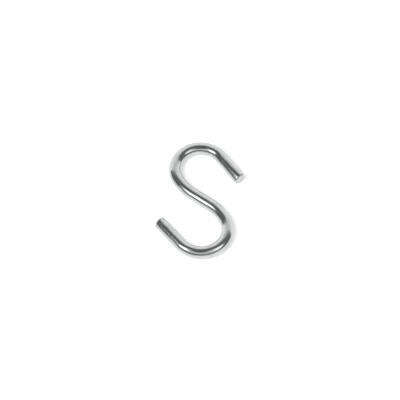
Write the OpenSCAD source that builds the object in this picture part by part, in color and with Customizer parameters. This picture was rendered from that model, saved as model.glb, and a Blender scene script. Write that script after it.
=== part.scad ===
// Open S hook, bent cold from one length of round zinc-plated steel wire.
// It lies flat: +Z is up, and the line through both loops runs along Y.
// The origin is at the middle of its bounding box, on the surface it lies on.

/* [Wire] */
// Diameter of the wire
wire_d = 4; // [2:0.1:6]
// Radius that the shears leave round the rim of each cut end
rim_r = 0.3; // [0.05:0.05:0.8]
// Straight length between the two halves of the S
middle_len = 6.7; // [1:0.1:16]

/* [Upper half] */
// Radius of the gentle sweep out of the middle, to the centre of the wire
upper_sweep_r = 16; // [9:0.1:40]
// Angle that the sweep turns through
upper_sweep_angle = 25; // [2:0.5:45]
// Radius of the loop, to the centre of the wire
upper_loop_r = 8; // [7:0.1:16]
// Angle that the loop turns through
upper_loop_angle = 173; // [120:0.5:190]
// Straight length from the loop to the cut end
upper_leg_len = 10.3; // [2:0.1:20]

/* [Lower half] */
// Radius of the gentle sweep out of the middle, to the centre of the wire
lower_sweep_r = 15.7; // [9:0.1:40]
// Angle that the sweep turns through
lower_sweep_angle = 23.5; // [2:0.5:45]
// Radius of the loop, to the centre of the wire
lower_loop_r = 8.3; // [7:0.1:16]
// Angle that the loop turns through
lower_loop_angle = 170.5; // [120:0.5:190]
// Straight length from the loop to the cut end
lower_leg_len = 10.5; // [2:0.1:20]

/* [Hidden] */
$fn = 96;
wire_r = wire_d / 2;

// The wire is joined up in metres and then scaled to millimetres: its stretches are tangent
// where they meet, and this way they meet within rounding.
mm_per_metre = 1000;
function metres(length) = length / mm_per_metre;
module in_millimetres() {
    scale(mm_per_metre)
        children();
}

// A half is a list of its sizes, which these functions read.
upper_half = [upper_sweep_r, upper_sweep_angle, upper_loop_r, upper_loop_angle, upper_leg_len];
lower_half = [lower_sweep_r, lower_sweep_angle, lower_loop_r, lower_loop_angle, lower_leg_len];
function sweep_r(half) = half[0];
function sweep_angle(half) = half[1];
function loop_r(half) = half[2];
function loop_angle(half) = half[3];
function leg_len(half) = half[4];

// The places along a half are worked out from the middle of the S, with the wire
// leaving it along +X and every bend turning to the right.
function ahead(heading) = [cos(heading), sin(heading)];
function right_of(heading) = [sin(heading), -cos(heading)];
function bend_centre(start, heading, radius) = start + radius * right_of(heading);
function bend_end(start, heading, radius, angle) =
    bend_centre(start, heading, radius) - radius * right_of(heading - angle);

function sweep_start() = [middle_len / 2, 0];
function sweep_centre(half) = bend_centre(sweep_start(), 0, sweep_r(half));
function loop_start(half) = bend_end(sweep_start(), 0, sweep_r(half), sweep_angle(half));
function loop_heading(half) = -sweep_angle(half);
function loop_centre(half) = bend_centre(loop_start(half), loop_heading(half), loop_r(half));
function leg_start(half) =
    bend_end(loop_start(half), loop_heading(half), loop_r(half), loop_angle(half));
function leg_heading(half) = loop_heading(half) - loop_angle(half);
function leg_end(half) = leg_start(half) + leg_len(half) * ahead(leg_heading(half));

// How far out the wire comes in a direction, if a bend has its crest there, and 0 if not.
full_turn = 360;
function crest(centre, radius, heading, angle, direction) =
    (heading + 90 - direction + 2 * full_turn) % full_turn <= angle
        ? centre * ahead(direction) + radius + wire_r
        : 0;
// How far out the rounded rim of the cut end comes in a direction.
function end_reach(half, direction) =
    let (heading = leg_heading(half))
        (leg_end(half) - rim_r * ahead(heading)) * ahead(direction)
            + (wire_r - rim_r) * abs(right_of(heading) * ahead(direction))
            + rim_r;
function half_reach(half, direction) = max(
    crest(sweep_centre(half), sweep_r(half), 0, sweep_angle(half), direction),
    crest(loop_centre(half), loop_r(half), loop_heading(half), loop_angle(half), direction),
    end_reach(half, direction)
);
// The lower half is the same path turned half round, so it is asked in the opposite direction.
function reach(direction) = max(
    half_reach(upper_half, direction),
    half_reach(lower_half, direction + 180)
);

// The turn that puts the line through the two loop centres on the Y axis.
loop_line = loop_centre(upper_half) + loop_centre(lower_half);
turn = 90 - atan2(loop_line[1], loop_line[0]);
// The middle of the bounding box, seen from the middle of the S.
box_middle = [reach(-turn) - reach(180 - turn), reach(90 - turn) - reach(270 - turn)] / 2;

// A short core, half as thick as the wire, from each stretch into the next, so that they share
// metal and not only a face. It reaches half the rim's radius each way, so it stays in the cut end.
module core() {
    rotate([0, 90, 0])
        cylinder(d = metres(wire_r), h = metres(rim_r), center = true);
}

// A straight stretch along +X, with what follows at its far end.
module straight(length) {
    rotate([0, 90, 0])
        cylinder(r = metres(wire_r), h = metres(length));
    translate([metres(length), 0, 0]) {
        core();
        children();
    }
}

// A bend to the right, with what follows at its far end.
module bend(radius, angle) {
    translate([0, -metres(radius), 0]) {
        rotate([0, 0, 90 - angle])
            rotate_extrude(angle = angle)
                translate([metres(radius), 0])
                    circle(r = metres(wire_r));
        rotate([0, 0, -angle])
            translate([0, metres(radius), 0]) {
                core();
                children();
            }
    }
}

// The last of the leg: a flat sheared face inside a rounded rim.
module cut_end() {
    rotate([0, 90, 0]) {
        cylinder(r = metres(wire_r - rim_r), h = metres(rim_r));
        rotate_extrude()
            translate([metres(wire_r - rim_r), 0])
                intersection() {
                    circle(r = metres(rim_r));
                    square(metres(rim_r));
                }
    }
}

// Everything on one side of the middle.
module half_hook(half) {
    straight(middle_len / 2)
        bend(sweep_r(half), sweep_angle(half))
            bend(loop_r(half), loop_angle(half))
                straight(leg_len(half) - rim_r)
                    cut_end();
}

module hook() {
    color("silver")
        translate([-box_middle[0], -box_middle[1], wire_r])
            in_millimetres()
                rotate([0, 0, turn]) {
                    core();
                    half_hook(upper_half);
                    rotate([0, 0, 180])
                        half_hook(lower_half);
                }
}

hook();
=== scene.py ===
# %% [markdown]
# # An S hook of bright plated wire
# One length of 4 mm steel wire, cut by shears, bent cold into an S and plated with bright zinc.
# It has no second piece, so there are no joints to pose: what has to be right is the sweep of
# the wire, its two sheared ends and the way that near-mirror metal shows the room around it.
# The frame holds the plain solid. It could be shown as it is, with a better material, but its
# facets would show in the reflections, so the wire is worked out again as one fine surface.

# %% Load the frame
import math

import bpy
import numpy as np
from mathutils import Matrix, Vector


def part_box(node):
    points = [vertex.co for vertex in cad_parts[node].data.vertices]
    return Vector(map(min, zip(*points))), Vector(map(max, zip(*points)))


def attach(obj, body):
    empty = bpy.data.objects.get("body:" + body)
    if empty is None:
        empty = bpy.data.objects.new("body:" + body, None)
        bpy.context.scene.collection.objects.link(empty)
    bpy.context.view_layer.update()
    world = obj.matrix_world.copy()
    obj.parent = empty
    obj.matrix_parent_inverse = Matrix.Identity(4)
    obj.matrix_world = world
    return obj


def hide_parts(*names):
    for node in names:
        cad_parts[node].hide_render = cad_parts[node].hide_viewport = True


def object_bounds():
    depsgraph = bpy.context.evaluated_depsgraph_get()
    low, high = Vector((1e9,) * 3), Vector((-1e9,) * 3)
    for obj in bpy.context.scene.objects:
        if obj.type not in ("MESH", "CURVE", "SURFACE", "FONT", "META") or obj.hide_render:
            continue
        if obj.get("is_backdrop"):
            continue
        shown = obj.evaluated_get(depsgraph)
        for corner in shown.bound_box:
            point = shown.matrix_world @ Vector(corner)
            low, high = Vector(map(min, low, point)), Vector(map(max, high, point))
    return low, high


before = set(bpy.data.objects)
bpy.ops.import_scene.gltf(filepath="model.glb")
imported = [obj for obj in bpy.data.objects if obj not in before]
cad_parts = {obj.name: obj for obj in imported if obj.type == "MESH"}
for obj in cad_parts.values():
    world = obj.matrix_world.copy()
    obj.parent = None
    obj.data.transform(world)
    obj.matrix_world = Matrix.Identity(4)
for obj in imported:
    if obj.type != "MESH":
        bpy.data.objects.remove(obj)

hook_low, hook_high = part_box("hook")
cad_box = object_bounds()
print("the solid's box, in millimetres:", [round(1000 * side, 2) for side in hook_high - hook_low])

# %% [markdown]
# ## The camera
# It comes first, since everything else is judged through it. A long lens from about 0.6 m looks
# steeply down on the hook, so that the S keeps its true proportions and the floor fills the
# frame. The place is worked out from three plain numbers, distance, elevation and turn, which
# are easier to change than three coordinates.

# %% Camera
CAMERA_DISTANCE = 0.596
CAMERA_ELEVATION = math.radians(58.4)
CAMERA_TURN = math.radians(-0.4)
CAMERA_LENS_MM = 170.4
AIM_OFFSET = Vector((0.00004, 0.00107, 0.0))

scene = bpy.context.scene
box_middle = (hook_low + hook_high) / 2
aim = Vector((box_middle.x, box_middle.y, hook_low.z)) + AIM_OFFSET
towards_camera = Vector((
    math.sin(CAMERA_TURN) * math.cos(CAMERA_ELEVATION),
    -math.cos(CAMERA_TURN) * math.cos(CAMERA_ELEVATION),
    math.sin(CAMERA_ELEVATION),
))
camera_data = bpy.data.cameras.new("camera")
camera_data.lens = CAMERA_LENS_MM
camera_data.clip_start = 0.01
camera = bpy.data.objects.new("camera", camera_data)
camera.location = aim + CAMERA_DISTANCE * towards_camera
camera.rotation_mode = "QUATERNION"
camera.rotation_quaternion = (-towards_camera).to_track_quat("-Z", "Y")
scene.collection.objects.link(camera)
scene.camera = camera
print("camera at", [round(c, 3) for c in camera.location])

# %% [markdown]
# ## The line that the wire follows
# The wire's centre runs through seven stretches, each either straight or an arc: a leg, a tight
# loop and a gentle sweep, the middle, and then a sweep, a loop and a leg that turn the other way.
# A bezier curve would come near it, but its bends are never quite round. Here the heading is
# added up along the length instead, which keeps every arc true. The two halves differ a little,
# as they do when a wire is bent by hand or on a simple jig, so each has its own sizes.

# %% Sizes of the wire, in metres and radians
WIRE_R = 0.002
MIDDLE_LEN = 0.0067
UPPER_SWEEP_R = 0.016
UPPER_SWEEP_ANGLE = math.radians(25)
UPPER_LOOP_R = 0.008
UPPER_LOOP_ANGLE = math.radians(173)
UPPER_LEG_LEN = 0.0103
LOWER_SWEEP_R = 0.0157
LOWER_SWEEP_ANGLE = math.radians(23.5)
LOWER_LOOP_R = 0.0083
LOWER_LOOP_ANGLE = math.radians(170.5)
LOWER_LEG_LEN = 0.0105

stretch_lengths = np.array([
    LOWER_LEG_LEN,
    LOWER_LOOP_R * LOWER_LOOP_ANGLE,
    LOWER_SWEEP_R * LOWER_SWEEP_ANGLE,
    MIDDLE_LEN,
    UPPER_SWEEP_R * UPPER_SWEEP_ANGLE,
    UPPER_LOOP_R * UPPER_LOOP_ANGLE,
    UPPER_LEG_LEN,
])
stretch_turns = np.array([
    0.0, LOWER_LOOP_ANGLE, LOWER_SWEEP_ANGLE, 0.0, -UPPER_SWEEP_ANGLE, -UPPER_LOOP_ANGLE, 0.0,
])
wire_length = stretch_lengths.sum()
print(f"the wire is {1000 * wire_length:.1f} mm long before bending")


# %% Points and headings along the line
def walk(distances):
    """Points and headings at these distances along the wire, starting at the origin along +X.

    Within a stretch of curvature k that starts at heading h, the point at distance d is one
    chord away from the stretch's start: the chord of an arc is d times sinc(k d / 2) long, and
    it points along h + k d / 2. With k = 0 the same formula gives the straight line.
    """
    ends = np.cumsum(stretch_lengths)
    starts = ends - stretch_lengths
    curvatures = stretch_turns / stretch_lengths
    headings = np.concatenate([[0.0], np.cumsum(stretch_turns)[:-1]])

    def chord(curvature, heading, d):
        half_turn = curvature * d / 2
        size = d * np.sinc(half_turn / np.pi)
        return np.stack([size * np.cos(heading + half_turn), size * np.sin(heading + half_turn)], -1)

    joints = np.cumsum(chord(curvatures, headings, stretch_lengths), axis=0)
    joints = np.concatenate([[[0.0, 0.0]], joints[:-1]])
    at = np.clip(np.searchsorted(ends, distances), 0, len(ends) - 1)
    along = distances - starts[at]
    points = joints[at] + chord(curvatures[at], headings[at], along)
    return points, headings[at] + curvatures[at] * along


# %% Which way the hook lies
def loop_centre(stretch):
    """Centre of an arc: from its start, one radius to the side that it turns towards."""
    start = stretch_lengths[:stretch].sum()
    # A nanometre further on, so that the place belongs to this stretch and not to the last one.
    (point,), (heading,) = walk(np.array([start + 1e-9]))
    radius = stretch_lengths[stretch] / stretch_turns[stretch]
    return point + radius * np.array([-math.sin(heading), math.cos(heading)])


LOWER_LOOP, UPPER_LOOP = 1, 5
loop_line = loop_centre(UPPER_LOOP) - loop_centre(LOWER_LOOP)
line_turn = math.pi / 2 - math.atan2(loop_line[1], loop_line[0])
print(f"the loops are {1000 * np.hypot(*loop_line):.2f} mm apart, centre to centre")

# %% [markdown]
# ## The wire's surface
# A profile carried along the line makes the surface: each ring is a circle square to the line.
# Two things keep it from being a perfect tube. Cold bending flattens the inside of a bend a
# little and thins the outside, and the wire keeps faint waves from the straightening rolls.
# Both are at most a few hundredths of a millimetre, yet a mirror surface shows them, because a
# reflection moves by twice the angle that the surface turns. So they are in the shape itself.

# %% How sharply the wire bends
BEND_BLEND = 0.0015


def bend_amount(s):
    """Signed share of the tightest bend at distance s.

    The curvature is a staircase along the length, so it is averaged over a short window, which
    reaches BEND_BLEND each way.
    """
    window = np.linspace(-BEND_BLEND, BEND_BLEND, 15)
    ends = np.cumsum(stretch_lengths)
    at = np.clip(np.searchsorted(ends, s[..., None] + window), 0, len(ends) - 1)
    return (stretch_turns / stretch_lengths)[at].mean(axis=-1) * UPPER_LOOP_R


loop_middles = (np.cumsum(stretch_lengths) - stretch_lengths / 2)[[LOWER_LOOP, UPPER_LOOP]]
print("the bend at the middle of each loop is", bend_amount(loop_middles).round(2))

# %% Waves from the straightening rolls
WAVE_HEIGHT = 0.000005


def rolling_waves(s, angle):
    """Height of the faint waves: five cosines, each with its own pitch along the wire.

    Around the wire every wave has a whole number of turns, so that the surface closes on itself.
    """
    rng = np.random.default_rng(7)
    pitches = np.array([0.0053, 0.0079, 0.0110, 0.0170, 0.0230])
    turns = np.array([3, 2, 2, 1, 4])
    phases = rng.uniform(0, 2 * np.pi, len(pitches))
    waves = np.cos(2 * np.pi * s[..., None] / pitches + turns * angle[..., None] + phases)
    return WAVE_HEIGHT * waves.sum(axis=-1)


# %% How far the surface lies from the wire's centre
FLAT_INSIDE = 0.00005
THIN_OUTSIDE = 0.00002


def wire_radius(s, angle):
    """Radius at distance s and angle around the wire, where 0 is its left side and pi/2 is up.

    The inside of a bend loses FLAT_INSIDE times the fourth power of the cosine from its middle,
    which makes a flat, and the outside THIN_OUTSIDE times the square.
    """
    bend = bend_amount(s)
    inside = np.clip(np.sign(bend) * np.cos(angle), 0, 1)
    outside = np.clip(-np.sign(bend) * np.cos(angle), 0, 1)
    loss = np.abs(bend) * (FLAT_INSIDE * inside ** 4 + THIN_OUTSIDE * outside ** 2)
    return WIRE_R - loss + rolling_waves(s, angle)


stations = np.linspace(0, wire_length, 400)[:, None]
half_round = np.linspace(0, np.pi, 45)[None, :]
thickness = 1000 * (wire_radius(stations, half_round) + wire_radius(stations, half_round + np.pi))
print(f"away from its ends the wire is {thickness.min():.2f} to {thickness.max():.2f} mm thick")

# %% [markdown]
# ## The sheared ends
# A shear doesn't leave a neat fillet. Where the blade goes in, it drags the edge over into a
# roll and pinches the wire, and where it comes out, the last metal is pushed out into a burr. The
# rim is drawn as a quarter circle whose radius changes around the wire, from wide on the blade's
# side to narrow on the other, and the pinch and the burr fade out within a few millimetres of the
# cut. A Bevel modifier would give the same width all round, which is why the rim is worked out.

# %% The two cuts and their rims
# blade is the angle that the blade came from, with 0 at the wire's left side and pi/2 on top.
# The other sizes are in metres.
LOWER_CUT = {
    "blade": math.radians(155), "rim": 0.00070, "pinch": 0.00022, "reach": 0.0021, "burr": 0.00008,
}
UPPER_CUT = {
    "blade": math.radians(122), "rim": 0.00055, "pinch": 0.00038, "reach": 0.0026, "burr": 0.00008,
}
RIM_NARROW = 0.00014


def rim_radius(angle, cut):
    """Radius of the rim: wide where the angle faces the blade, narrow on the far side."""
    facing = (1 + np.cos(angle - cut["blade"])) / 2
    return RIM_NARROW + (cut["rim"] - RIM_NARROW) * facing ** 2


for tip, cut in (("lower", LOWER_CUT), ("upper", UPPER_CUT)):
    widths = 1000 * rim_radius(np.linspace(0, 2 * np.pi, 90), cut)
    print(f"the {tip} tip's rim is {widths.min():.2f} to {widths.max():.2f} mm wide")

# %% The pinch and the burr
BURR_REACH = 0.00060


def burr_share(angle, cut):
    """Share of the burr at an angle: the sixth power of the cosine from where the blade left."""
    return np.clip(-np.cos(angle - cut["blade"]), 0, 1) ** 6


def pushed_out(from_tip, angle, cut):
    """How far an end stands out from a plain round wire: its burr, less its pinch.

    Both are strongest at the tip and fade along the wire with exp(-d / reach).
    """
    facing = np.clip(np.cos(angle - cut["blade"]), 0, 1)
    pinch = cut["pinch"] * np.exp(-from_tip / cut["reach"]) * facing ** 2
    burr = cut["burr"] * np.exp(-from_tip / BURR_REACH) * burr_share(angle, cut)
    return burr - pinch


# %% The torn face
TEAR_HEIGHT = 0.00002


def torn_depth(across, along):
    """Depth of the cut face: smooth where the blade slid, then a ledge, and torn metal beyond.

    across runs from -1 on the blade's side to 1 on the far side, and the tear sets in near
    -0.2. Where the blade slid, it left fine lines in its own direction, and the torn part is a
    sum of twelve cosines whose directions are spread evenly, so that it has no grain.
    """
    rng = np.random.default_rng(3)
    torn = np.clip((across + 0.3 + 0.08 * np.sin(5 * along)) / 0.2, 0, 1)
    slid = 0.25 * np.sin(58 * along) + 0.2 * np.sin(37 * along + 1.0)
    rough = 0.0 * across
    for k, phase in enumerate(rng.uniform(0, 2 * np.pi, 12)):
        direction = math.pi * k / 12 + 0.2 * phase
        count = 9 + 1.7 * k
        rough = rough + np.cos(count * (across * math.cos(direction) + along * math.sin(direction)) + phase)
    return TEAR_HEIGHT * (2 + (1 - torn) * slid + torn * (1 + 0.3 * rough))


print(f"the middle of a cut face lies {1000 * torn_depth(0.0, 0.0):.3f} mm inside its tip")

# %% [markdown]
# ## One grid for the whole wire
# The rows of the grid are rings: rings that shrink over the one cut face, rings round its rim,
# many rings along the wire, and then the rim and face of the other end. Each ring is given as a
# distance along the wire and a radius, so every effect above is a sum of whole arrays. A single
# point closes each face. The same distance and radius, laid out straight, are stored with each
# point as straight_wire: where it lay before the wire was bent. Marks that come from drawing
# the wire follow that, and so they run along it and round every bend.

# %% Rings of an end
AROUND = 96
RINGS_ALONG = 560
RIM_RINGS = 12
FACE_RINGS = 20
around = np.linspace(0, 2 * np.pi, AROUND, endpoint=False) - np.pi / 2


def end_rings(cut):
    """Distance from the tip and loss of radius on the rim, and depth and radius on the face.

    On the rim, of radius rho, a quarter turn t gives the distance rho (1 - sin t) and the loss
    rho (1 - cos t). The face's rings keep the rim's last outline and shrink to its middle. The
    burr is also a lip that stands up past the face, so it is taken off the depths.
    """
    blade = cut["blade"]
    rho = rim_radius(around, cut)
    lip = cut["burr"] * burr_share(around, cut)
    quarter = np.linspace(0, np.pi / 2, RIM_RINGS + 1)[:, None]
    share = np.linspace(1, 0, FACE_RINGS + 1)[1:-1, None]
    face_radius = share * (WIRE_R - rho + pushed_out(0.0, around, cut))
    settle = np.clip((1 - share) * 6, 0, 1)
    face_depth = settle * torn_depth(-np.cos(around - blade) * share, np.sin(around - blade) * share)
    lip_on_rim = lip * np.sin(quarter) ** 4
    lip_on_face = lip * np.clip(1 - 8 * (1 - share), 0, 1)
    rim_depth = rho * (1 - np.sin(quarter)) - lip_on_rim
    return rim_depth, rho * (1 - np.cos(quarter)), face_depth - lip_on_face, face_radius


print(f"each end has {FACE_RINGS - 1} rings on its cut face and {RIM_RINGS + 1} round its rim")


# %% Rings of the whole wire
def wire_rings():
    """Distance along the wire and radius, for every ring and angle, from tip to tip."""
    low_d, low_loss, low_depth, low_face = end_rings(LOWER_CUT)
    top_d, top_loss, top_depth, top_face = end_rings(UPPER_CUT)
    share = np.linspace(0, 1, RINGS_ALONG)[1:-1, None]
    body = low_d[0] + share * (wire_length - top_d[0] - low_d[0])
    skin_s = np.concatenate([low_d[::-1], body, wire_length - top_d])
    loss = np.concatenate([low_loss[::-1], 0 * body, top_loss])
    ends = pushed_out(np.clip(skin_s, 0, None), around, LOWER_CUT)
    ends = ends + pushed_out(np.clip(wire_length - skin_s, 0, None), around, UPPER_CUT)
    skin_r = wire_radius(skin_s, np.broadcast_to(around, skin_s.shape)) - loss + ends
    s = np.concatenate([low_depth[::-1], skin_s, wire_length - top_depth])
    return s, np.concatenate([low_face[::-1], skin_r, top_face])


ring_s, ring_radius = wire_rings()
ring_angle = np.broadcast_to(around, ring_s.shape)
print(f"{len(ring_s)} rings of {AROUND} points")


# %% Points of the bent wire
def place(s, radius, angle):
    """Points of the bent wire: the line's point plus the radius, square to the line's heading."""
    points, heading = walk(s.ravel())
    points = points.reshape(s.shape + (2,))
    heading = heading.reshape(s.shape)
    sideways = radius * np.cos(angle)
    x = points[..., 0] - sideways * np.sin(heading)
    y = points[..., 1] + sideways * np.cos(heading)
    turned_x = x * math.cos(line_turn) - y * math.sin(line_turn)
    turned_y = x * math.sin(line_turn) + y * math.cos(line_turn)
    return np.stack([turned_x, turned_y, WIRE_R + radius * np.sin(angle)], -1)


grid = place(ring_s, ring_radius, ring_angle)
pole_s = np.array([torn_depth(0.0, 0.0), wire_length - torn_depth(0.0, 0.0)])
poles = place(pole_s, np.zeros(2), np.zeros(2))
points = np.concatenate([grid.reshape(-1, 3), poles])
print(f"the bent wire is {1000 * np.ptp(points[:, 1]):.2f} mm long")

# %% [markdown]
# ## Where the solid lies
# The points so far start at the lower tip, and they have to lie exactly where the frame's solid
# does. The shears have left the true ends a little uneven, so the middle of their own box would
# be slightly off. A plain wire that ends in the solid's own even rim fills the solid's box, so
# its middle is found instead, and the true wire is moved by as much.

# %% Move the wire onto the solid
SOLID_RIM = 0.0003
quarter = np.linspace(0, np.pi / 2, 25)[:, None]
rim_s = SOLID_RIM * (1 - np.sin(quarter)) + 0 * around
rim_r = WIRE_R - SOLID_RIM * (1 - np.cos(quarter)) + 0 * around
along = np.linspace(SOLID_RIM, wire_length - SOLID_RIM, RINGS_ALONG)[:, None] + 0 * around
plain_s = np.concatenate([rim_s, along, wire_length - rim_s])
plain_r = np.concatenate([rim_r, WIRE_R + 0 * along, rim_r])
plain = place(plain_s, plain_r, np.broadcast_to(around, plain_s.shape)).reshape(-1, 3)
plain_size = plain.max(axis=0) - plain.min(axis=0)
points[:, :2] += np.array(box_middle)[:2] - (plain.max(axis=0) + plain.min(axis=0))[:2] / 2
points[:, 2] += hook_low.z - points[:, 2].min()
print("the plain wire's box, in millimetres:", [round(1000 * float(side), 2) for side in plain_size])


# %% Faces of the grid
def grid_faces(rows, columns):
    """Quads between neighbouring rings, wound so that they face outwards, and two closing fans.

    The two points that close the faces come after those of the grid.
    """
    index = np.arange(rows * columns).reshape(rows, columns)
    following = np.roll(index, -1, axis=1)
    quads = np.stack([index[:-1], following[:-1], following[1:], index[1:]], -1).reshape(-1, 4)
    pole = np.full(columns, rows * columns)
    first_fan = np.stack([pole, following[0], index[0]], -1)
    last_fan = np.stack([pole + 1, index[-1], following[-1]], -1)
    return quads.tolist() + first_fan.tolist() + last_fan.tolist()


faces = grid_faces(*ring_s.shape)
print(f"{len(faces)} faces")

# %% The mesh and its straight-wire coordinates
mesh = bpy.data.meshes.new("zinc_wire_hook")
mesh.from_pydata(points.tolist(), [], faces)
mesh.shade_smooth()

straight = np.stack([ring_s, ring_radius * np.cos(ring_angle), ring_radius * np.sin(ring_angle)], -1)
straight = np.concatenate([straight.reshape(-1, 3), np.stack([pole_s, 0 * pole_s, 0 * pole_s], -1)])
attribute = mesh.attributes.new("straight_wire", "FLOAT_VECTOR", "POINT")
attribute.data.foreach_set("vector", straight.ravel())
print(f"{len(mesh.vertices)} points, each with its place on the straight wire")

# %% Which faces are cut, and the finished piece
face_rows = FACE_RINGS - 1
quad_row = np.repeat(np.arange(len(ring_s) - 1), AROUND)
on_face = (quad_row < face_rows) | (quad_row >= len(ring_s) - 1 - face_rows)
on_face = np.concatenate([on_face, np.ones(2 * AROUND, bool)])
mesh.polygons.foreach_set("material_index", on_face.astype(np.int32))

wire_hook = bpy.data.objects.new("zinc_wire_hook", mesh)
scene.collection.objects.link(wire_hook)
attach(wire_hook, "root")
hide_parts("hook")
print(f"{int(on_face.sum())} of the faces lie on the two cuts")

# %% [markdown]
# ## Marks in the metal
# Bright zinc is nearly a mirror, and what tells it from chrome is what lies under it: the fine
# lines that the drawing die left along the wire, soft clouds in the plating, a few rubbed
# scratches from being tumbled and packed with others, and shallow dents where the bending
# tool's jaws held the two legs. Each is a node group, so that the wire and its cut ends can
# share them with values of their own. A group puts out only a height or a mask, and the shader
# stays in the material.


# %% Helpers for node trees
def new_group(name, inputs, outputs):
    """An empty shader node group. inputs are (name, kind, value) and outputs are (name, kind)."""
    group = bpy.data.node_groups.new(name, "ShaderNodeTree")
    for socket, kind, value in inputs:
        made = group.interface.new_socket(socket, in_out="INPUT", socket_type=kind)
        if value is not None:
            made.default_value = value
    for socket, kind in outputs:
        group.interface.new_socket(socket, in_out="OUTPUT", socket_type=kind)
    return group, group.nodes.new("NodeGroupInput"), group.nodes.new("NodeGroupOutput")


def add_node(tree, kind, values=None, **settings):
    """Adds a node with these settings, and with these values on its named or numbered inputs."""
    node = tree.nodes.new(kind)
    for name, setting in settings.items():
        setattr(node, name, setting)
    for socket, value in (values or {}).items():
        node.inputs[socket].default_value = value
    return node


def stretched(tree, vector, along, across):
    """The wire's own coordinates times a count per metre along it and across it."""
    scaled = add_node(tree, "ShaderNodeVectorMath", {1: (along, across, across)}, operation="MULTIPLY")
    tree.links.new(vector, scaled.inputs[0])
    return scaled.outputs[0]


# %% Drawn lines
def drawn_lines_group():
    """Height of the lines that the die left: noise pulled out long along the wire, in two widths."""
    group, given, result = new_group(
        "drawn_lines",
        [("Straight Wire", "NodeSocketVector", None), ("Broad Share", "NodeSocketFloat", 0.6)],
        [("Height", "NodeSocketFloat")],
    )
    link = group.links.new
    broad = add_node(group, "ShaderNodeTexNoise", {"Scale": 1.0, "Detail": 2.0, "Roughness": 0.5})
    fine = add_node(group, "ShaderNodeTexNoise", {"Scale": 1.0, "Detail": 3.0, "Roughness": 0.6})
    link(stretched(group, given.outputs["Straight Wire"], 40, 1500), broad.inputs["Vector"])
    link(stretched(group, given.outputs["Straight Wire"], 200, 9000), fine.inputs["Vector"])
    mixed = add_node(group, "ShaderNodeMix", data_type="FLOAT")
    link(given.outputs["Broad Share"], mixed.inputs["Factor"])
    link(fine.outputs["Fac"], mixed.inputs["A"])
    link(broad.outputs["Fac"], mixed.inputs["B"])
    link(mixed.outputs["Result"], result.inputs["Height"])
    return group


drawn_lines = drawn_lines_group()
print("drawn lines use", len(drawn_lines.nodes), "nodes")


# %% Plating clouds
def plating_clouds_group():
    """Mask from 0 to 1 of soft clouds in the plating, a few to each centimetre."""
    group, given, result = new_group(
        "plating_clouds",
        [("Straight Wire", "NodeSocketVector", None), ("Per Metre", "NodeSocketFloat", 420.0)],
        [("Clouds", "NodeSocketFloat")],
    )
    link = group.links.new
    noise = add_node(group, "ShaderNodeTexNoise", {"Detail": 4.0, "Roughness": 0.55, "Distortion": 0.4})
    link(given.outputs["Straight Wire"], noise.inputs["Vector"])
    link(given.outputs["Per Metre"], noise.inputs["Scale"])
    spread = add_node(group, "ShaderNodeMapRange", {"From Min": 0.35, "From Max": 0.65})
    link(noise.outputs["Fac"], spread.inputs["Value"])
    link(spread.outputs["Result"], result.inputs["Clouds"])
    return group


plating_clouds = plating_clouds_group()
print("plating clouds use", len(plating_clouds.nodes), "nodes")


# %% Rubbed scratches
def rubbed_scratches_group():
    """Mask of thin scratches: the cell walls of stretched cells, kept only in patches."""
    group, given, result = new_group(
        "rubbed_scratches",
        [("Straight Wire", "NodeSocketVector", None), ("Width", "NodeSocketFloat", 0.03)],
        [("Scratches", "NodeSocketFloat")],
    )
    link = group.links.new
    cells = add_node(group, "ShaderNodeTexVoronoi", {"Scale": 1.0}, feature="DISTANCE_TO_EDGE")
    link(stretched(group, given.outputs["Straight Wire"], 420, 1300), cells.inputs["Vector"])
    thin = add_node(group, "ShaderNodeMapRange", {"From Min": 0.0, "To Min": 1.0, "To Max": 0.0})
    link(cells.outputs["Distance"], thin.inputs["Value"])
    link(given.outputs["Width"], thin.inputs["From Max"])
    patches = add_node(group, "ShaderNodeTexNoise", {"Scale": 900.0, "Detail": 2.0})
    link(given.outputs["Straight Wire"], patches.inputs["Vector"])
    kept = add_node(group, "ShaderNodeMapRange", {"From Min": 0.52, "From Max": 0.62})
    link(patches.outputs["Fac"], kept.inputs["Value"])
    both = add_node(group, "ShaderNodeMath", operation="MULTIPLY")
    link(thin.outputs["Result"], both.inputs[0])
    link(kept.outputs["Result"], both.inputs[1])
    link(both.outputs[0], result.inputs["Scratches"])
    return group


rubbed_scratches = rubbed_scratches_group()
print("rubbed scratches use", len(rubbed_scratches.nodes), "nodes")


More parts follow.
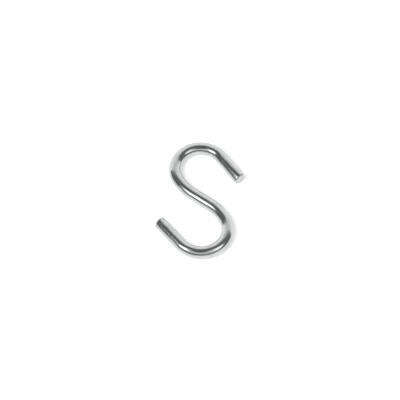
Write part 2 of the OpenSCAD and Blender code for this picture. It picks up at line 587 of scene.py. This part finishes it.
# %% Grip marks
def grip_marks_group():
    """Height of the dents that the bending tool's jaws left on both legs: noise near the tips.

    The distance to the nearer tip is the smaller of s and the wire's length less s. The dents
    keep their full height up to 10 mm from the tip, and are gone 15 mm from it.
    """
    group, given, result = new_group(
        "grip_marks",
        [("Straight Wire", "NodeSocketVector", None), ("Wire Length", "NodeSocketFloat", 0.1)],
        [("Height", "NodeSocketFloat")],
    )
    link = group.links.new
    place_on_wire = add_node(group, "ShaderNodeSeparateXYZ")
    link(given.outputs["Straight Wire"], place_on_wire.inputs[0])
    other_tip = add_node(group, "ShaderNodeMath", operation="SUBTRACT")
    link(given.outputs["Wire Length"], other_tip.inputs[0])
    link(place_on_wire.outputs["X"], other_tip.inputs[1])
    nearer = add_node(group, "ShaderNodeMath", operation="MINIMUM")
    link(place_on_wire.outputs["X"], nearer.inputs[0])
    link(other_tip.outputs[0], nearer.inputs[1])
    fade_out = {"From Min": 0.010, "From Max": 0.015, "To Min": 1.0, "To Max": 0.0}
    on_leg = add_node(group, "ShaderNodeMapRange", fade_out)
    link(nearer.outputs[0], on_leg.inputs["Value"])
    dents = add_node(group, "ShaderNodeTexNoise", {"Scale": 1.0, "Detail": 2.0, "Roughness": 0.6})
    link(stretched(group, given.outputs["Straight Wire"], 900, 2400), dents.inputs["Vector"])
    both = add_node(group, "ShaderNodeMath", operation="MULTIPLY")
    link(dents.outputs["Fac"], both.inputs[0])
    link(on_leg.outputs["Result"], both.inputs[1])
    link(both.outputs[0], result.inputs["Height"])
    return group


grip_marks = grip_marks_group()
print("marks:", ", ".join(group.name for group in bpy.data.node_groups))

# %% [markdown]
# ## The two finishes
# Both are the same zinc. Along the wire it is bright, with a reflectance of about 0.75 and a
# faint cool cast from the clear passivation. On the cut faces the torn steel under it stays
# rough, so the same plating looks matt and even, and a shade paler. The finish sets the values,
# and the groups only vary them: colour and roughness by the clouds, roughness by the scratches
# too, and height by the drawn lines and the dents.


# %% Helpers for the marks in a material
def use_group(tree, group, vector, **values):
    """Places a group in a material, fed with the wire's own coordinates."""
    node = add_node(tree, "ShaderNodeGroup", node_tree=group)
    tree.links.new(vector, node.inputs["Straight Wire"])
    for name, value in values.items():
        node.inputs[name.replace("_", " ")].default_value = value
    return node


def ranged(tree, value, low, high):
    """Turns a 0 to 1 mask into a value from low to high."""
    node = add_node(tree, "ShaderNodeMapRange", {"To Min": low, "To Max": high})
    tree.links.new(value, node.inputs["Value"])
    return node.outputs["Result"]


# %% Plated steel
BRIGHT_ZINC = (0.745, 0.760, 0.755)
CLOUDED_ZINC = (0.700, 0.716, 0.712)
TORN_ZINC = (0.78, 0.79, 0.785)
EDGE_TINT = (0.8, 0.8, 0.8)
SCRATCH_ROUGHNESS = 0.12
DENT_HEIGHT = 0.00006


def zinc_material(name, clean, clouded, roughness, line_height, broad_share, scratch_width):
    """Plated steel: metallic, with its colour, roughness and height varied by the four groups.

    clean and clouded are the two colours that the clouds mix, and roughness is a pair that they
    range over. line_height is the drawn lines' depth in metres, of which the broad lines make
    broad_share, and scratch_width is the scratches' width in parts of a cell.
    """
    material = bpy.data.materials.new(name)
    material.use_nodes = True
    tree = material.node_tree
    link = tree.links.new
    shader = tree.nodes["Principled BSDF"]
    shader.inputs["Metallic"].default_value = 1.0
    shader.inputs["Specular Tint"].default_value = (*EDGE_TINT, 1)
    own = add_node(tree, "ShaderNodeAttribute", attribute_name="straight_wire").outputs["Vector"]
    lines = use_group(tree, drawn_lines, own, Broad_Share=broad_share)
    clouds = use_group(tree, plating_clouds, own)
    scratches = use_group(tree, rubbed_scratches, own, Width=scratch_width)

    colour = add_node(tree, "ShaderNodeMix", data_type="RGBA")
    colour.inputs["A"].default_value = (*clean, 1)
    colour.inputs["B"].default_value = (*clouded, 1)
    link(clouds.outputs["Clouds"], colour.inputs["Factor"])
    link(colour.outputs["Result"], shader.inputs["Base Color"])

    rough = add_node(tree, "ShaderNodeMath", operation="ADD")
    link(ranged(tree, clouds.outputs["Clouds"], *roughness), rough.inputs[0])
    link(ranged(tree, scratches.outputs["Scratches"], 0.0, SCRATCH_ROUGHNESS), rough.inputs[1])
    link(rough.outputs[0], shader.inputs["Roughness"])

    bump = add_node(tree, "ShaderNodeBump", {"Strength": 1.0, "Distance": line_height})
    link(lines.outputs["Height"], bump.inputs["Height"])
    dents = use_group(tree, grip_marks, own, Wire_Length=wire_length)
    dent_bump = add_node(tree, "ShaderNodeBump", {"Strength": 1.0, "Distance": DENT_HEIGHT})
    link(dents.outputs["Height"], dent_bump.inputs["Height"])
    link(bump.outputs["Normal"], dent_bump.inputs["Normal"])
    link(dent_bump.outputs["Normal"], shader.inputs["Normal"])
    return material


# %% The two finishes of the hook
bright = zinc_material(
    "bright_zinc_wire", clean=BRIGHT_ZINC, clouded=CLOUDED_ZINC, roughness=(0.10, 0.17),
    line_height=0.000030, broad_share=0.8, scratch_width=0.02,
)
torn = zinc_material(
    "zinc_on_torn_steel", clean=TORN_ZINC, clouded=BRIGHT_ZINC, roughness=(0.34, 0.46),
    line_height=0.000006, broad_share=0.2, scratch_width=0.05,
)
mesh.materials.append(bright)
mesh.materials.append(torn)
print("finishes:", [material.name for material in mesh.materials])

# %% [markdown]
# ## The table and its light
# A mirror shows the room, so the room is the finish. The usual way to light bright metal is a
# white surround that is broken by dark cloths: white alone would make it look like plaster, and
# the dark bands are what the eye reads as metal. Here the table is white under a satin clear
# coat, which softly mirrors what stands low around it. The surround is white too, a little
# dimmer overhead. Black cloths hang to the left, to the right, over the table and round the
# camera, and a grey one softens the edge of the overhead one. Two skirts hang low on the camera's
# side, and a pale screen fills the rest of that side, with two soft lamps before it. A third
# lamp, the key, gives the soft shadow, and the metal doesn't show it.

# %% Helpers for the studio
MATT_ROUGHNESS = 0.8


def stage_material(name, colour):
    """A plain matt material for what isn't part of the hook."""
    material = bpy.data.materials.new(name)
    material.use_nodes = True
    shader = material.node_tree.nodes["Principled BSDF"]
    shader.inputs["Base Color"].default_value = (*colour, 1)
    shader.inputs["Roughness"].default_value = MATT_ROUGHNESS
    shader.inputs["Specular IOR Level"].default_value = 0.0
    return material


def shown_glow(tree, to_camera, by_metal):
    """Strength of a glow: to_camera for the camera's rays, by_metal for rays by way of metal or
    glass, and 0 for all others, so that it gives no light.
    """
    path = add_node(tree, "ShaderNodeLightPath")
    glossy_or_glass = add_node(tree, "ShaderNodeMath", operation="MAXIMUM")
    tree.links.new(path.outputs["Is Glossy Ray"], glossy_or_glass.inputs[0])
    tree.links.new(path.outputs["Is Transmission Ray"], glossy_or_glass.inputs[1])
    camera_part = add_node(tree, "ShaderNodeMath", {1: to_camera}, operation="MULTIPLY")
    tree.links.new(path.outputs["Is Camera Ray"], camera_part.inputs[0])
    both = add_node(tree, "ShaderNodeMath", {1: by_metal}, operation="MULTIPLY_ADD")
    tree.links.new(glossy_or_glass.outputs[0], both.inputs[0])
    tree.links.new(camera_part.outputs[0], both.inputs[2])
    return both.outputs[0]


# %% The table
FLOOR_RADIUS = 4.0
FLOOR_COLOUR = (0.80, 0.80, 0.80)
TABLE_COAT_ROUGHNESS = 0.2
GLOW_TO_CAMERA = 0.47
GLOW_BY_METAL = 0.36
FLOOR_SIDES = 64

turn = np.linspace(0, 2 * np.pi, FLOOR_SIDES, endpoint=False)
rim_points = np.stack([FLOOR_RADIUS * np.cos(turn), FLOOR_RADIUS * np.sin(turn), 0 * turn], -1)
floor_mesh = bpy.data.meshes.new("floor")
floor_mesh.from_pydata(rim_points.tolist(), [], [list(range(FLOOR_SIDES))])
white_table = stage_material("white_table", FLOOR_COLOUR)
table_shader = white_table.node_tree.nodes["Principled BSDF"]
table_shader.inputs["Coat Weight"].default_value = 1.0
table_shader.inputs["Coat Roughness"].default_value = TABLE_COAT_ROUGHNESS
table_shader.inputs["Emission Color"].default_value = (1, 1, 1, 1)
table_glow = shown_glow(white_table.node_tree, GLOW_TO_CAMERA, GLOW_BY_METAL)
white_table.node_tree.links.new(table_glow, table_shader.inputs["Emission Strength"])
floor_mesh.materials.append(white_table)
floor = bpy.data.objects.new("floor", floor_mesh)
floor.location.z = hook_low.z
scene.collection.objects.link(floor)
floor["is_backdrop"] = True
print(f"the table is a disc {2 * FLOOR_RADIUS:.0f} m across, with {FLOOR_SIDES} sides")

# %% The white surround
OVERHEAD_STRENGTH = 0.74

world = bpy.data.worlds.new("white_surround")
world.use_nodes = True
scene.world = world
sky = world.node_tree
direction = add_node(sky, "ShaderNodeTexCoord").outputs["Generated"]
height = add_node(sky, "ShaderNodeSeparateXYZ")
strength = add_node(sky, "ShaderNodeMapRange", {"To Min": 1.0, "To Max": OVERHEAD_STRENGTH})
sky.links.new(direction, height.inputs[0])
sky.links.new(height.outputs["Z"], strength.inputs["Value"])
sky.nodes["Background"].inputs["Color"].default_value = (1, 1, 1, 1)
sky.links.new(strength.outputs["Result"], sky.nodes["Background"].inputs["Strength"])
print(f"the surround goes from 1 at the table's level to {OVERHEAD_STRENGTH} overhead")

# %% [markdown]
# ## Cloths and lamps on a map of the room
# The hook is small, so where a cloth shows in it depends almost only on the cloth's direction.
# Every cloth and lamp is placed on a map of the room, as a star is on a chart of the sky:
# straight overhead is the middle, the table's own level is a circle 90 degrees out, and the
# camera stands about 32 degrees below the middle. What hangs nearer covers what hangs behind it,
# so a black cloth before a grey one gets a soft edge.


# %% Directions on the map
def overhead_direction(x, y):
    """Direction for a place on a map of the room, seen from the hook.

    The map's middle is straight overhead and its distances are angles: a place at (x, y) degrees
    lies hypot(x, y) from overhead, towards +X and +Y, so 90 is the table's own level.
    """
    angle = np.radians(np.hypot(x, y))
    facing = np.arctan2(y, x)
    return np.stack([np.sin(angle) * np.cos(facing), np.sin(angle) * np.sin(facing), np.cos(angle)], -1)


print("a place 90 degrees to the right is", overhead_direction(90.0, 0.0).round(2))

# %% A cloth on the map
LOWEST_HEM = 89.5


def hung(name, map_x, map_y, distance, material):
    """A cloth whose grid of places is given on the map of the room, hung that far from the hook.

    Places below the hem, LOWEST_HEM degrees from overhead, are drawn up to it, over the table.
    """
    reach = np.hypot(map_x, map_y)
    above_table = np.minimum(1, LOWEST_HEM / np.maximum(reach, 1))
    places = distance * overhead_direction(map_x * above_table, map_y * above_table)
    rows, columns = map_x.shape
    index = np.arange(rows * columns).reshape(rows, columns)
    quads = np.stack([index[:-1, :-1], index[1:, :-1], index[1:, 1:], index[:-1, 1:]], -1)
    cloth_mesh = bpy.data.meshes.new(name)
    cloth_mesh.from_pydata(places.reshape(-1, 3).tolist(), [], quads.reshape(-1, 4).tolist())
    cloth_mesh.materials.append(material)
    cloth = bpy.data.objects.new(name, cloth_mesh)
    cloth.visible_camera = False
    scene.collection.objects.link(cloth)
    cloth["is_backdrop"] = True


# %% Cloths with round corners
CORNER_ROUNDING = 2.6


def hang_cloth(name, centre, size, tilt, distance, material, rows=24):
    """A cloth with round corners. centre, size (half its sides) and tilt are degrees on the map.

    A square grid (u, v) from -1 to 1 becomes a rounded square: u is drawn in by the factor
    sqrt(1 - v v / CORNER_ROUNDING), and v by the same factor of u.
    """
    side = np.linspace(-1, 1, rows)
    u, v = np.meshgrid(side, side, indexing="ij")
    x = size[0] * u * np.sqrt(1 - v * v / CORNER_ROUNDING)
    y = size[1] * v * np.sqrt(1 - u * u / CORNER_ROUNDING)
    angle = math.radians(tilt)
    map_x = centre[0] + x * math.cos(angle) - y * math.sin(angle)
    map_y = centre[1] + x * math.sin(angle) + y * math.cos(angle)
    hung(name, map_x, map_y, distance, material)


# %% Skirts along the table
def hang_skirt(name, start, end, heights, distance, material, columns=40, rows=6):
    """A cloth that hangs round the table from one bearing to another, in degrees from +X.

    It ends at the table's level, and heights are how high it reaches at the start and the end,
    in degrees.
    """
    share, up = np.meshgrid(np.linspace(0, 1, columns), np.linspace(0, 1, rows), indexing="ij")
    angle = np.radians(start + (end - start) * share)
    reach = 90 - (heights[0] + (heights[1] - heights[0]) * share) * up
    hung(name, reach * np.cos(angle), reach * np.sin(angle), distance, material)


# %% Cloths hung around the table
SCREEN_GLOW = 0.22

black_cloth = stage_material("black_cloth", (0.27, 0.27, 0.27))
grey_cloth = stage_material("grey_cloth", (0.38, 0.38, 0.38))
pale_screen = stage_material("pale_screen", (0.9, 0.9, 0.9))
screen_shader = pale_screen.node_tree.nodes["Principled BSDF"]
screen_shader.inputs["Emission Color"].default_value = (1, 1, 1, 1)
screen_shader.inputs["Emission Strength"].default_value = SCREEN_GLOW

# The numbers are the centre, half the sides and the tilt on the map, and the distance in metres.
hang_cloth("left_cloth", (-76, 7), (26, 29), 0, 0.79, black_cloth)
hang_cloth("right_cloth", (76, -11), (25, 29), -8, 0.79, black_cloth)
hang_cloth("ceiling_cloth", (-2, 5), (88, 13), -3, 0.81, black_cloth)
hang_cloth("ceiling_edge", (-2, 11), (88, 16), -3, 0.83, grey_cloth)
hang_cloth("camera_cloth", (0, -17), (16, 23), -12, 0.80, black_cloth)
hang_skirt("low_skirt", start=200, end=278, heights=(26, 24), distance=0.83, material=black_cloth)
hang_skirt("right_skirt", start=272, end=342, heights=(24, 32), distance=0.84, material=grey_cloth)
hang_cloth("front_screen", (0, -32), (104, 69), 0, 0.90, pale_screen)


# %% A soft lamp
def soft_lamp(name, place_on_map, size, distance, brightness):
    """An oval soft lamp aimed at the hook. brightness is its radiance, where 1 is white.

    place_on_map and size are in degrees, as for a cloth, but size is the whole width and height.
    A lamp of power P and area A has the radiance P / (pi A), so the power follows from it. It
    shines fully out to half its radius, and fades from there to 0.15 of that at its edge.
    """
    lamp_data = bpy.data.lights.new(name, "AREA")
    lamp_data.shape = "ELLIPSE"
    lamp_data.size, lamp_data.size_y = (2 * distance * math.tan(math.radians(s) / 2) for s in size)
    area = math.pi / 4 * lamp_data.size * lamp_data.size_y
    lamp_data.energy = brightness * math.pi * area
    lamp_data.use_nodes = True
    tree = lamp_data.node_tree
    where = add_node(tree, "ShaderNodeNewGeometry").outputs["Parametric"]
    centred = add_node(tree, "ShaderNodeVectorMath", {1: (0.5, 0.5, 0.0)}, operation="SUBTRACT")
    from_middle = add_node(tree, "ShaderNodeVectorMath", operation="LENGTH")
    fade = add_node(tree, "ShaderNodeMapRange", {"From Min": 0.5, "From Max": 0.25, "To Min": 0.15})
    fade.interpolation_type = "SMOOTHSTEP"
    tree.links.new(where, centred.inputs[0])
    tree.links.new(centred.outputs[0], from_middle.inputs[0])
    tree.links.new(from_middle.outputs["Value"], fade.inputs["Value"])
    tree.links.new(fade.outputs["Result"], tree.nodes["Emission"].inputs["Strength"])
    lamp = bpy.data.objects.new(name, lamp_data)
    direction = Vector(overhead_direction(*place_on_map))
    lamp.location = distance * direction
    lamp.rotation_mode = "QUATERNION"
    lamp.rotation_quaternion = (-direction).to_track_quat("-Z", "Y")
    lamp.visible_camera = False
    scene.collection.objects.link(lamp)
    print(f"{name}: {lamp_data.energy:.1f} W over {area:.2f} m2")
    return lamp


# %% The lamps
soft_lamp("left_lamp", (-41, -27), size=(31, 33), distance=0.70, brightness=1.5)
soft_lamp("right_lamp", (41, -27), size=(34, 36), distance=0.70, brightness=0.65)
key_lamp = soft_lamp("key_lamp", (-22, -20), size=(30, 30), distance=0.60, brightness=11.0)
key_lamp.visible_glossy = False

# %% [markdown]
# ## The last measures
# The surface that shows should fill the box of the solid that it stands for. It does so to
# within a quarter of a millimetre, which is what the pinch and the rolled rim take off the lower
# tip. Both boxes are printed.

# %% Measure and finish
scene.view_settings.view_transform = "Standard"

visual_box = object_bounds()
for name, box in (("solid", cad_box), ("surface", visual_box)):
    print(f"{name}, in millimetres:", [[round(1000 * c, 3) for c in corner] for corner in box])
